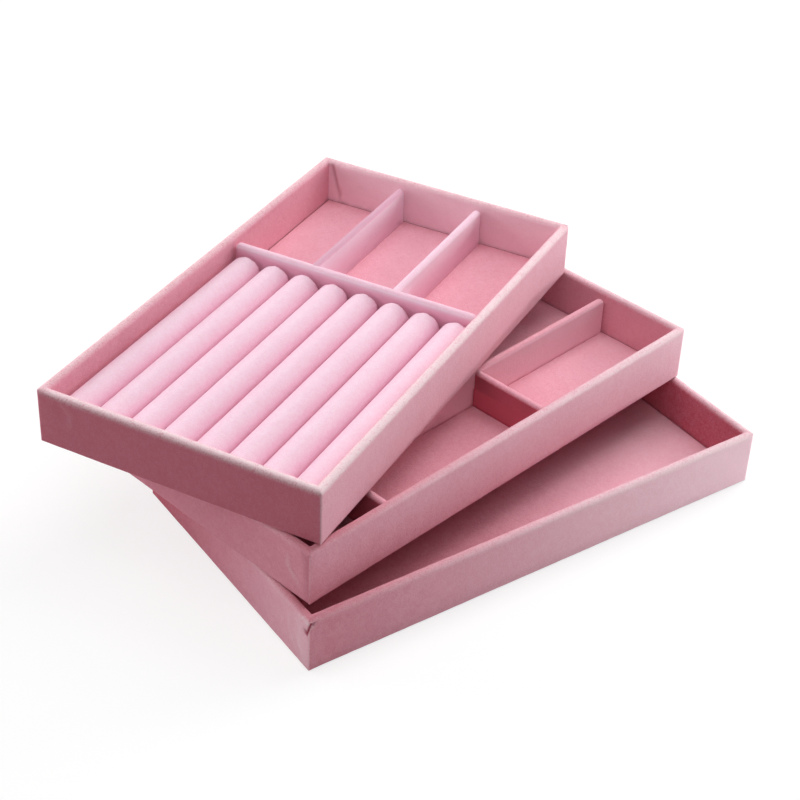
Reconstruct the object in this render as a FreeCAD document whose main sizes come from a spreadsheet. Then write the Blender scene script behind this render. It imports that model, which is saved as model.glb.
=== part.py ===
import FreeCAD, Part
import collections
import math
import os
import Sketcher

# A stack of three equal velvet jewelry trays, fanned out about their near corner.
# A tray is five boards wrapped in one band of velvet that runs over the outside, the rim and the
# inside and is hemmed under the base. A velvet floor on a card drops in, and a panel covers the hem.
# The middle tray has a fixed grid of dividers, and the top tray a drop-in insert with ring rolls.
#
# Frame: the origin is the centre of the bottom tray's underside, X runs along its long side,
# Y along its short side, and Z points up. Lengths are in millimetres and turns in degrees.

SIZES = {
    # Tray box
    "tray_length": 265.0,
    "tray_width": 150.0,
    "tray_height": 29.8,
    "wall_board": 3.0,
    "base_board": 2.5,
    "velvet": 1.0,
    "hem_width": 12.0,
    "panel_proud": 0.3,
    "floor_card": 1.0,
    "card_clearance": 0.2,
    "corner_radius": 1.2,
    "rim_round_share": 0.48,
    # Stack
    "stack_clearance": 0.1,
    "middle_shift_x": -11.0,
    "middle_shift_y": 32.6,
    "middle_turn_angle": 11.05,
    "top_shift_x": -38.5,
    "top_shift_y": 64.1,
    "top_turn_angle": 28.18,
    # Dividers
    "divider_board": 2.4,
    "divider_drop": 3.3,
    "divider_corner": 3.0,
    "divider_clearance": 0.4,
    "divider_round_share": 0.45,
    "lap_clearance": 0.1,
    "column_count": 3,
    "first_row_share": 0.1765,
    "second_row_share": 0.404,
    # Ring insert
    "insert_card": 1.0,
    "ring_bay_share": 0.61,
    "roll_count": 8,
    "roll_gap": 0.2,
    "roll_drop": 7.6,
    "roll_end_bevel": 1.6,
    "roll_foot_share": 0.8,
}

# How far inside a bounding box an edge may lie and still count as on it, as a share of the box
PICK_SHARE = 1e-6
# The largest round-over and bevel that still cover a square core, as shares of the velvet's thickness
ROUND_COVER_SHARE = 3
BEVEL_COVER_SHARE = 1.8
# The largest round-over that still runs cleanly round a bent edge, as a share of the bend's radius
ROUND_BEND_SHARE = 2 / 3

# Sizes that follow from the sheet, as expressions
WALL = "(sizes.wall_board + 2 * sizes.velvet)"
BOARD_LENGTH = "(sizes.tray_length - 2 * sizes.velvet)"
BOARD_WIDTH = "(sizes.tray_width - 2 * sizes.velvet)"
BASE_LENGTH = f"({BOARD_LENGTH} - 2 * sizes.wall_board)"
BASE_WIDTH = f"({BOARD_WIDTH} - 2 * sizes.wall_board)"
INNER_LENGTH = f"(sizes.tray_length - 2 * {WALL})"
INNER_WIDTH = f"(sizes.tray_width - 2 * {WALL})"
FLOOR_LENGTH = f"({INNER_LENGTH} - 2 * sizes.card_clearance)"
FLOOR_WIDTH = f"({INNER_WIDTH} - 2 * sizes.card_clearance)"
HEM_LENGTH = "(sizes.tray_length - 2 * sizes.hem_width)"
HEM_WIDTH = "(sizes.tray_width - 2 * sizes.hem_width)"

# Heights in a tray, counted from its underside
BOARD_FOOT = "(sizes.panel_proud + sizes.velvet)"
BOARD_TOP = "(sizes.tray_height - sizes.velvet)"
BASE_TOP = f"({BOARD_FOOT} + sizes.base_board)"
CARD_TOP = f"({BASE_TOP} + sizes.floor_card)"
FLOOR_TOP = f"({CARD_TOP} + sizes.velvet)"
DIVIDER_TOP = "(sizes.tray_height - sizes.divider_drop)"
INSERT_FLOOR = f"({FLOOR_TOP} + sizes.insert_card)"

# Dividers: cross ones placed along X from the inner face of the left wall, the others on the two
# lines between three equal columns, half a column from the middle
DIVIDER = "(sizes.divider_board + 2 * sizes.velvet)"
COLUMN_LINE = f"({INNER_WIDTH} / sizes.column_count / 2)"
INNER_LEFT = f"(-{INNER_LENGTH} / 2)"
INNER_RIGHT = f"({INNER_LENGTH} / 2)"
FIRST_CROSS = f"({INNER_LEFT} + sizes.first_row_share * {INNER_LENGTH} + {DIVIDER} / 2)"
SECOND_CROSS = f"({FIRST_CROSS} + sizes.second_row_share * {INNER_LENGTH} + {DIVIDER})"
RING_BAY = f"(sizes.ring_bay_share * {INNER_LENGTH})"
INSERT_CROSS = f"({INNER_LEFT} + {RING_BAY} + {DIVIDER} / 2)"
CLEAR_LEFT = f"({INNER_LEFT} + sizes.divider_clearance)"
CLEAR_RIGHT = f"({INNER_RIGHT} - sizes.divider_clearance)"
CLEAR_WIDTH = f"({INNER_WIDTH} - 2 * sizes.divider_clearance)"

# Ring rolls, side by side across the insert
ROLL_PITCH = f"({CLEAR_WIDTH} / sizes.roll_count)"
ROLL_HALF = f"(({ROLL_PITCH} - sizes.roll_gap) / 2)"
ROLL_HEIGHT = f"(sizes.tray_height - sizes.roll_drop - {INSERT_FLOOR})"
ROLL_START = CLEAR_LEFT
ROLL_LENGTH = f"({RING_BAY} - sizes.divider_clearance - sizes.roll_gap)"

# Round-overs, limited so that the cloth still covers what is under it
RIM_RADIUS = f"min(sizes.rim_round_share * {WALL}; {ROUND_COVER_SHARE} * sizes.velvet)"
CORNER_RADIUS = f"min(sizes.corner_radius; {ROUND_COVER_SHARE} * sizes.velvet)"
ROLL_BEVEL = f"min(sizes.roll_end_bevel; {BEVEL_COVER_SHARE} * sizes.velvet)"
DIVIDER_CORNER = f"min(sizes.divider_corner; ({DIVIDER_TOP} - {INSERT_FLOOR}) / 2)"
DIVIDER_ROUND = f"min(sizes.divider_round_share * {DIVIDER}; {ROUND_BEND_SHARE} * {DIVIDER_CORNER})"

Tray = collections.namedtuple("Tray", "name level shift_x shift_y turn")
BOTTOM = Tray("bottom", 0, "0", "0", "0")
MIDDLE = Tray("middle", 1, "sizes.middle_shift_x", "sizes.middle_shift_y", "sizes.middle_turn_angle")
TOP = Tray("top", 2, "sizes.top_shift_x", "sizes.top_shift_y", "sizes.top_turn_angle")

doc = FreeCAD.newDocument("jewelry_trays")
sheet = doc.addObject("Spreadsheet::Sheet", "sizes")
finished = []


def fill_sheet():
    """Writes the driving sizes to the sheet, one alias each."""
    for row, (name, number) in enumerate(SIZES.items(), start=1):
        sheet.set(f"A{row}", name)
        sheet.set(f"B{row}", str(number))
        sheet.setAlias(f"B{row}", name)
    doc.recompute()


def value(expression):
    """The number that an expression has with the sheet's sizes."""
    return float(sheet.evalExpression(expression))


def new_body(label, tray):
    """Empty body that stands where its tray stands in the fanned stack."""
    body = doc.addObject("PartDesign::Body", label)
    body.Label = label
    body.setExpression("Placement.Base.x", tray.shift_x)
    body.setExpression("Placement.Base.y", tray.shift_y)
    body.setExpression("Placement.Base.z", f"{tray.level} * (sizes.tray_height + sizes.stack_clearance)")
    body.setExpression("Placement.Rotation.Angle", tray.turn)
    return body


def new_sketch(body, role, offset):
    """Empty sketch on one of the body's origin planes, shifted by three expressions."""
    sketch = body.newObject("Sketcher::SketchObject", f"{body.Name}_sketch")
    plane = next(item for item in body.Origin.OriginFeatures if item.Role == role)
    sketch.AttachmentSupport = [(plane, "")]
    sketch.MapMode = "FlatFace"
    for axis, shift in zip("xyz", offset):
        sketch.setExpression(f"AttachmentOffset.Base.{axis}", shift)
    return sketch


def bind(sketch, name, expression, kind, *places):
    """Adds a dimension to a sketch and ties it to an expression."""
    number = sketch.addConstraint(Sketcher.Constraint(kind, *places, value(expression)))
    sketch.renameConstraint(number, name)
    sketch.setExpression(f"Constraints.{name}", expression)


def relate(sketch, *relations):
    """Adds geometric relations to a sketch."""
    for relation in relations:
        sketch.addConstraint(Sketcher.Constraint(*relation))


def draw_rectangle(sketch, across, along, name="plan"):
    """Rectangle about the sketch's origin."""
    half = FreeCAD.Vector(value(across) / 2, value(along) / 2)
    corners = [FreeCAD.Vector(x * half.x, y * half.y) for x, y in ((-1, -1), (1, -1), (1, 1), (-1, 1))]
    first = sketch.GeometryCount
    for start, end in zip(corners, corners[1:] + corners[:1]):
        sketch.addGeometry(Part.LineSegment(start, end))
    bottom, right, top, left = range(first, first + len(corners))
    relate(sketch, ("Coincident", bottom, 2, right, 1), ("Coincident", right, 2, top, 1),
           ("Coincident", top, 2, left, 1), ("Coincident", left, 2, bottom, 1),
           ("Horizontal", bottom), ("Horizontal", top), ("Vertical", right), ("Vertical", left),
           ("Symmetric", bottom, 1, top, 1, -1, 1))
    bind(sketch, f"{name}_across", across, "DistanceX", bottom, 1, bottom, 2)
    bind(sketch, f"{name}_along", along, "DistanceY", right, 1, right, 2)


def draw_divider(sketch, length, height, radius, butted):
    """Side view of a divider: flat foot on the sketch's X axis and rounded top corners.

    The left corner stays square on a divider that butts against another one there.
    """
    half, top, bend = value(length) / 2, value(height), value(radius)
    up = FreeCAD.Vector(0, 0, 1)
    left_top = FreeCAD.Vector(-half, top) if butted else FreeCAD.Vector(-half, top - bend)
    crown_end = FreeCAD.Vector(-half, top) if butted else FreeCAD.Vector(bend - half, top)
    right_circle = Part.Circle(FreeCAD.Vector(half - bend, top - bend), up, bend)
    left_circle = Part.Circle(FreeCAD.Vector(bend - half, top - bend), up, bend)
    sketch.addGeometry([
        Part.LineSegment(FreeCAD.Vector(-half, 0), FreeCAD.Vector(half, 0)),
        Part.LineSegment(FreeCAD.Vector(half, 0), FreeCAD.Vector(half, top - bend)),
        Part.ArcOfCircle(right_circle, 0, math.pi / 2),
        Part.LineSegment(FreeCAD.Vector(half - bend, top), crown_end),
        Part.LineSegment(left_top, FreeCAD.Vector(-half, 0)),
    ])
    foot, right, right_bend, crown, left = range(sketch.GeometryCount)
    relate(sketch, ("Coincident", foot, 2, right, 1), ("Coincident", left, 2, foot, 1),
           ("Tangent", right, 2, right_bend, 1), ("Tangent", right_bend, 2, crown, 1),
           ("Symmetric", foot, 1, foot, 2, -1, 1), ("Horizontal", foot),
           ("Vertical", right), ("Vertical", left))
    if butted:
        relate(sketch, ("Coincident", crown, 2, left, 1), ("Horizontal", crown))
    else:
        left_bend = sketch.addGeometry(Part.ArcOfCircle(left_circle, math.pi / 2, math.pi))
        relate(sketch, ("Tangent", crown, 2, left_bend, 1), ("Tangent", left_bend, 2, left, 1),
               ("Equal", right_bend, left_bend))
    bind(sketch, "length", length, "DistanceX", foot, 1, foot, 2)
    bind(sketch, "height", height, "DistanceY", foot, 2, crown, 1)
    bind(sketch, "bend", radius, "Radius", right_bend)


def draw_roll(sketch, half, height):
    """Section of a ring roll: flat foot, sides that draw in towards it, and a half-round crown."""
    foot_half = f"(sizes.roll_foot_share * {half})"
    shoulder = f"({height} - {half})"
    taper = f"({half} - {foot_half})"
    side_radius = f"(({taper} * {taper} + {shoulder} * {shoulder}) / (2 * {taper}))"
    up = FreeCAD.Vector(0, 0, 1)
    side_turn = 2 * math.atan(value(f"{taper} / {shoulder}"))
    right_centre = FreeCAD.Vector(value(f"{half} - {side_radius}"), value(shoulder))
    left_centre = FreeCAD.Vector(-right_centre.x, right_centre.y)
    right_circle = Part.Circle(right_centre, up, value(side_radius))
    left_circle = Part.Circle(left_centre, up, value(side_radius))
    crown_circle = Part.Circle(FreeCAD.Vector(0, value(shoulder)), up, value(half))
    foot_end = FreeCAD.Vector(value(foot_half), 0)
    sketch.addGeometry([
        Part.LineSegment(-foot_end, foot_end),
        Part.ArcOfCircle(right_circle, -side_turn, 0),
        Part.ArcOfCircle(crown_circle, 0, math.pi / 2),
        Part.ArcOfCircle(crown_circle, math.pi / 2, math.pi),
        Part.ArcOfCircle(left_circle, math.pi, math.pi + side_turn),
    ])
    foot, right, crown_right, crown_left, left = range(sketch.GeometryCount)
    relate(sketch, ("Coincident", foot, 2, right, 1), ("Coincident", right, 2, crown_right, 1),
           ("Coincident", crown_right, 2, crown_left, 1), ("Coincident", crown_left, 2, left, 1),
           ("Coincident", left, 2, foot, 1), ("Symmetric", foot, 1, foot, 2, -1, 1), ("Horizontal", foot),
           ("Symmetric", right, 2, left, 1, -2), ("PointOnObject", crown_right, 2, -2),
           ("Equal", right, left), ("Equal", crown_right, crown_left))
    bind(sketch, "foot", f"2 * {foot_half}", "DistanceX", foot, 1, foot, 2)
    bind(sketch, "width", f"2 * {half}", "DistanceX", left, 1, right, 2)
    bind(sketch, "shoulder", shoulder, "DistanceY", foot, 2, right, 2)
    bind(sketch, "side", side_radius, "Radius", right)
    bind(sketch, "crown", half, "Radius", crown_right)


def add_pad(body, sketch, length, sides="One side"):
    """Pads a sketch along its plane's normal, or half to each side."""
    pad = body.newObject("PartDesign::Pad", f"{body.Name}_pad")
    pad.Profile = sketch
    pad.SideType = sides
    pad.setExpression("Length", length)
    doc.recompute()


def add_pocket(body, sketch, length, sides="One side"):
    """Cuts a sketch along its plane's normal, or half to each side."""
    before = body.Tip.Shape.Volume
    pocket = body.newObject("PartDesign::Pocket", f"{body.Name}_pocket")
    pocket.Profile = sketch
    pocket.Reversed = True
    pocket.SideType = sides
    pocket.setExpression("Length", length)
    doc.recompute()
    if pocket.Shape.isNull() or pocket.Shape.Volume >= before:
        raise ValueError(f"{pocket.Name} cuts nothing")


def edge_numbers(shape, chosen):
    """Numbers of the edges that a test picks by the edge's box and the whole shape's box."""
    whole = shape.BoundBox
    near = PICK_SHARE * whole.DiagonalLength
    edges = enumerate(shape.Edges, start=1)
    return [number for number, edge in edges if chosen(edge.BoundBox, whole, near)]


def dress_edges(body, kind, size_name, size, chosen):
    """Rounds or bevels the chosen edges of a body."""
    base = body.Tip
    dressed = body.newObject(f"PartDesign::{kind}", f"{body.Name}_{kind}")
    dressed.Base = (base, [f"Edge{number}" for number in edge_numbers(base.Shape, chosen)])
    dressed.setExpression(size_name, size)
    doc.recompute()


def make_board(label, tray, length, width, height, centre):
    """Flat piece with a rectangular plan, on the tray's axes."""
    body = new_body(label, tray)
    plan = new_sketch(body, "XY_Plane", centre)
    draw_rectangle(plan, length, width)
    add_pad(body, plan, height)
    finished.append(body)


def make_box_boards(tray):
    """Base board and the four wall boards: the long walls run through, the short ones fit between."""
    make_board(f"{tray.name}_base_board", tray, BASE_LENGTH, BASE_WIDTH, "sizes.base_board",
               ("0", "0", BOARD_FOOT))
    wall_height = f"{BOARD_TOP} - {BOARD_FOOT}"
    long_place = f"({BOARD_WIDTH} - sizes.wall_board) / 2"
    short_place = f"({BOARD_LENGTH} - sizes.wall_board) / 2"
    for side, sign in (("front", "-"), ("rear", "")):
        make_board(f"{tray.name}_{side}_wall", tray, BOARD_LENGTH, "sizes.wall_board", wall_height,
                   ("0", f"{sign}{long_place}", BOARD_FOOT))
    for side, sign in (("left", "-"), ("right", "")):
        make_board(f"{tray.name}_{side}_wall", tray, "sizes.wall_board", BASE_WIDTH, wall_height,
                   (f"{sign}{short_place}", "0", BOARD_FOOT))


def make_floor(tray):
    """Floor card, the velvet on it, and the panel under the base."""
    make_board(f"{tray.name}_floor_card", tray, FLOOR_LENGTH, FLOOR_WIDTH, "sizes.floor_card",
               ("0", "0", BASE_TOP))
    make_board(f"{tray.name}_floor_velvet", tray, FLOOR_LENGTH, FLOOR_WIDTH, "sizes.velvet",
               ("0", "0", CARD_TOP))
    make_board(f"{tray.name}_underside_panel", tray, f"{HEM_LENGTH} - 2 * sizes.card_clearance",
               f"{HEM_WIDTH} - 2 * sizes.card_clearance", BOARD_FOOT, ("0", "0", "0"))


def cut_plan(body, length, width, foot, height):
    """Cuts a rectangular prism out of a body, upwards from a height."""
    plan = new_sketch(body, "XY_Plane", ("0", "0", foot))
    draw_rectangle(plan, length, width)
    add_pocket(body, plan, height)


def is_outer(box, whole, near):
    """True for an edge that lies in one of the four outer walls."""
    sides = (box.XMin - whole.XMin, whole.XMax - box.XMax, box.YMin - whole.YMin, whole.YMax - box.YMax)
    flat = (box.XLength, box.XLength, box.YLength, box.YLength)
    return any(gap < near and size < near for gap, size in zip(sides, flat))


def is_rim(box, whole, near):
    """True for an edge in the plane of the rim."""
    return whole.ZMax - box.ZMin < near


def is_upright(box, whole, near):
    """True for one of the four upright outer corner edges."""
    at_end = box.XMin - whole.XMin < near or whole.XMax - box.XMax < near
    return box.ZLength > near and at_end and is_outer(box, whole, near)


def make_velvet_wrap(tray):
    """The band of velvet round the wall boards: skin outside, lining inside, round rim and a hem."""
    label = f"{tray.name}_velvet_wrap"
    body = new_body(f"{label}_blank", tray)
    plan = new_sketch(body, "XY_Plane", ("0", "0", "sizes.panel_proud"))
    draw_rectangle(plan, "sizes.tray_length", "sizes.tray_width")
    add_pad(body, plan, "sizes.tray_height - sizes.panel_proud")
    cut_plan(body, HEM_LENGTH, HEM_WIDTH, "sizes.panel_proud", "sizes.velvet")
    cut_plan(body, BASE_LENGTH, BASE_WIDTH, BOARD_FOOT, "sizes.base_board")
    cut_plan(body, INNER_LENGTH, INNER_WIDTH, BASE_TOP, f"sizes.tray_height - {BASE_TOP}")
    channel = new_sketch(body, "XY_Plane", ("0", "0", BOARD_FOOT))
    draw_rectangle(channel, BOARD_LENGTH, BOARD_WIDTH, "outside")
    draw_rectangle(channel, BASE_LENGTH, BASE_WIDTH, "inside")
    add_pocket(body, channel, f"{BOARD_TOP} - {BOARD_FOOT}")
    wrap = doc.addObject("Part::Fillet", label)
    wrap.Base = body
    blank = body.Tip.Shape
    rounds = [(is_rim, RIM_RADIUS), (is_upright, CORNER_RADIUS)]
    wrap.Edges = [(number, value(radius), value(radius))
                  for chosen, radius in rounds for number in edge_numbers(blank, chosen)]
    wrap.Label = label
    finished.append(wrap)


def make_divider(label, tray, axis, length, centre, foot, laps=(), lap_from="top"):
    """Core board and velvet cover of one divider that stands on its foot along X or along Y.

    Those along Y stand free at both ends, and those along X butt against one of them on the left.
    centre gives the middle's place along the divider and across it. laps are places along the
    divider, counted from its middle, where another one crosses it in a half-height slot.
    """
    role, across_sign, butted = {"x": ("XZ_Plane", "-", True), "y": ("YZ_Plane", "", False)}[axis]
    offset = (centre[0], foot, f"{across_sign}({centre[1]})")
    height = f"({DIVIDER_TOP} - {foot})"
    core_sizes = (f"({length} - 2 * sizes.velvet)", f"({height} - sizes.velvet)",
                  f"({DIVIDER_CORNER} - sizes.velvet)", butted)
    cover = new_body(f"{label}_velvet", tray)
    side_view = new_sketch(cover, role, offset)
    draw_divider(side_view, length, height, DIVIDER_CORNER, butted)
    add_pad(cover, side_view, DIVIDER, "Symmetric")
    broad_face = {"x": is_x_divider_face, "y": is_y_divider_face}[axis]
    dress_edges(cover, "Fillet", "Radius", DIVIDER_ROUND, broad_face)
    hollow = new_sketch(cover, role, offset)
    draw_divider(hollow, *core_sizes)
    add_pocket(cover, hollow, "sizes.divider_board", "Symmetric")
    core = new_body(f"{label}_core", tray)
    core_view = new_sketch(core, role, offset)
    draw_divider(core_view, *core_sizes)
    add_pad(core, core_view, "sizes.divider_board", "Symmetric")
    lap_height = f"({height} / 2 + sizes.lap_clearance)"
    lap_middles = {"top": f"{DIVIDER_TOP} - {lap_height} / 2", "foot": f"{foot} + {lap_height} / 2"}
    for lap in laps:
        for body in (cover, core):
            slot = new_sketch(body, role, (f"{centre[0]} + {lap}", lap_middles[lap_from], offset[2]))
            draw_rectangle(slot, f"{DIVIDER} + 2 * sizes.lap_clearance", lap_height)
            add_pocket(body, slot, f"2 * {DIVIDER}", "Symmetric")
    finished.extend((core, cover))


def is_x_divider_face(box, whole, near):
    """True for an edge round a broad face of a divider along X, apart from its foot and butted end."""
    return box.YLength < near and box.ZMax - whole.ZMin > near and box.XMax - whole.XMin > near


def is_y_divider_face(box, whole, near):
    """True for an edge round a broad face of a divider along Y, apart from its foot."""
    return box.XLength < near and box.ZMax - whole.ZMin > near


def make_grid():
    """Fixed dividers of the middle tray: an open first row, then two rows of three."""
    make_divider("middle_first_cross_divider", MIDDLE, "y", CLEAR_WIDTH, ("0", FIRST_CROSS), FLOOR_TOP)
    make_divider("middle_second_cross_divider", MIDDLE, "y", CLEAR_WIDTH, ("0", SECOND_CROSS), FLOOR_TOP,
                 (f"-{COLUMN_LINE}", COLUMN_LINE))
    start = f"({FIRST_CROSS} + {DIVIDER} / 2)"
    length = f"({CLEAR_RIGHT} - {start})"
    middle = f"({start} + {length} / 2)"
    for side, sign in (("front", "-"), ("rear", "")):
        make_divider(f"middle_{side}_long_divider", MIDDLE, "x", length, (middle, f"{sign}{COLUMN_LINE}"),
                     FLOOR_TOP, (f"({SECOND_CROSS} - {middle})",), "foot")


def make_insert_frame():
    """Card under the ring bay, the cross divider on its edge and two short dividers behind that."""
    end = f"({INSERT_CROSS} + {DIVIDER} / 2)"
    make_board("insert_card", TOP, f"{end} - {CLEAR_LEFT}", CLEAR_WIDTH, "sizes.insert_card",
               (f"({end} + {CLEAR_LEFT}) / 2", "0", FLOOR_TOP))
    make_divider("insert_cross_divider", TOP, "y", CLEAR_WIDTH, ("0", INSERT_CROSS), INSERT_FLOOR)
    length = f"({CLEAR_RIGHT} - {end})"
    middle = f"({end} + {length} / 2)"
    for side, sign in (("front", "-"), ("rear", "")):
        make_divider(f"insert_{side}_short_divider", TOP, "x", length, (middle, f"{sign}{COLUMN_LINE}"),
                     FLOOR_TOP)


def is_roll_end(box, whole, near):
    """True for an edge round an end of a roll, apart from its foot."""
    return box.XLength < near and box.ZMax - whole.ZMin > near


def make_ring_roll(number):
    """Foam core and velvet sleeve of one ring roll, which lies along X."""
    across = f"(({number} - (sizes.roll_count + 1) / 2) * {ROLL_PITCH})"
    core_half = f"({ROLL_HALF} - sizes.velvet)"
    core_height = f"({ROLL_HEIGHT} - sizes.velvet)"
    core_length = f"({ROLL_LENGTH} - 2 * sizes.velvet)"
    core_place = (across, INSERT_FLOOR, f"{ROLL_START} + sizes.velvet")
    sleeve = new_body(f"ring_roll_{number}_velvet", TOP)
    section = new_sketch(sleeve, "YZ_Plane", (across, INSERT_FLOOR, ROLL_START))
    draw_roll(section, ROLL_HALF, ROLL_HEIGHT)
    add_pad(sleeve, section, ROLL_LENGTH)
    dress_edges(sleeve, "Chamfer", "Size", ROLL_BEVEL, is_roll_end)
    hollow = new_sketch(sleeve, "YZ_Plane", core_place)
    draw_roll(hollow, core_half, core_height)
    add_pocket(sleeve, hollow, core_length)
    foam = new_body(f"ring_roll_{number}_foam", TOP)
    core_section = new_sketch(foam, "YZ_Plane", core_place)
    draw_roll(core_section, core_half, core_height)
    add_pad(foam, core_section, core_length)
    finished.extend((foam, sleeve))


def check_document():
    """Stops if any object failed to build or any piece isn't one sound solid."""
    doc.recompute()
    for item in doc.Objects:
        if {"Invalid", "Error"} & set(item.State):
            raise ValueError(f"{item.Name} failed: {item.State}")
    for piece in finished:
        shape = piece.Shape
        if shape.isNull() or not shape.isValid() or len(shape.Solids) != 1:
            raise ValueError(f"{piece.Label} isn't one sound solid")


def export_parts():
    """Writes each finished piece to its own file."""
    os.makedirs("parts", exist_ok=True)
    for piece in finished:
        piece.Shape.exportStep(os.path.join("parts", f"{piece.Label}.step"))
        print(f"{piece.Label}: {piece.Shape.Volume:.1f} mm3")


fill_sheet()
for each_tray in (BOTTOM, MIDDLE, TOP):
    make_box_boards(each_tray)
    make_velvet_wrap(each_tray)
    make_floor(each_tray)
make_grid()
make_insert_frame()
for roll_number in range(1, int(value("sizes.roll_count")) + 1):
    make_ring_roll(roll_number)
check_document()
export_parts()
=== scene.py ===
"""Looks of a fanned stack of three velvet jewelry trays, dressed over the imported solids.

Sizes in the classes are millimetres in a tray's own frame: the origin is the middle of its underside,
X runs along its long side and Z points up. Each finished piece is placed in its mesh, in metres.
"""

import logging
import math
from dataclasses import dataclass
from enum import Enum
from typing import Iterable, Optional, Union

import bmesh
import bpy
from bmesh.types import BMEdge, BMesh, BMFace, BMVert
from bpy.types import Material, NodeSocket, Object
from mathutils import Matrix, Quaternion, Vector, noise


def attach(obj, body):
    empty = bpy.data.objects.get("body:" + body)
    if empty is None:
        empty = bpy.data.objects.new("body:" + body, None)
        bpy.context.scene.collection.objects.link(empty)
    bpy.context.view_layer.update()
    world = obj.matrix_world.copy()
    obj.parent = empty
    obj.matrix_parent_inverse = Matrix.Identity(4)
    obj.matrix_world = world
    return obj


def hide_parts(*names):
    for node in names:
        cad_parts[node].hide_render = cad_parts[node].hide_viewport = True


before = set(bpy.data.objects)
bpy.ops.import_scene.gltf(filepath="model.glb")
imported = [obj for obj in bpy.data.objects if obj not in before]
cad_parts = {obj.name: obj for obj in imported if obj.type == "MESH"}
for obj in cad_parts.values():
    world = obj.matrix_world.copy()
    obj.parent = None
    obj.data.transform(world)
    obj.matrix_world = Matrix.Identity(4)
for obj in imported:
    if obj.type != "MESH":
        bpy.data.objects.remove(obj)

MM = 0.001
TOUCH = 0.01  # distance under which two places count as one
STRAIGHT = 0.97  # least share of an edge's length along the axis that it follows
SQUARE = 0.99  # least share of a face's normal along the axis that it looks along
QUARTER_TURN = math.pi / 2
LOG = logging.getLogger("trays")

Pair = tuple[float, float]
Triple = tuple[float, float, float]
Colour = Triple
Finish = Union["VelvetFinish", "FibreFinish", "FoamFinish"]


class Side(Enum):
    """The four outer faces of a tray."""

    LEFT = "left"
    RIGHT = "right"
    FRONT = "front"
    REAR = "rear"


class Skin(Enum):
    """The parts of a tray's wrap that folds are given on."""

    OUTSIDE = "outside"
    RIGHT_LINING = "right lining"


class Run(Enum):
    """The direction that a divider runs in."""

    LENGTHWISE = "x"
    CROSSWISE = "y"


class Mask(Enum):
    """Point attributes that a finish reads from a mesh."""

    # Painted highlight: a lighter colour on rim bends, fold ridges and divider tops, where light falls.
    PAINTED_HIGHLIGHT = "painted_highlight_level"
    # Painted shade: a dark colour in slits, folds, valleys, along floor edges, low between rolls and on faces
    # the light misses.
    PAINTED_SHADE = "painted_shade_level"
    # Painted light and shade: towards the pale colour where lit and the deep one where shaded, face by face.
    PAINTED_LIGHT = "painted_light_level"


def clamp(value: float) -> float:
    """Keeps a value between zero and one."""
    return min(max(value, 0.0), 1.0)


def mix(first: float, second: float, share: float) -> float:
    """The value at a share of the way from one value to another."""
    return first + (second - first) * share


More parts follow.
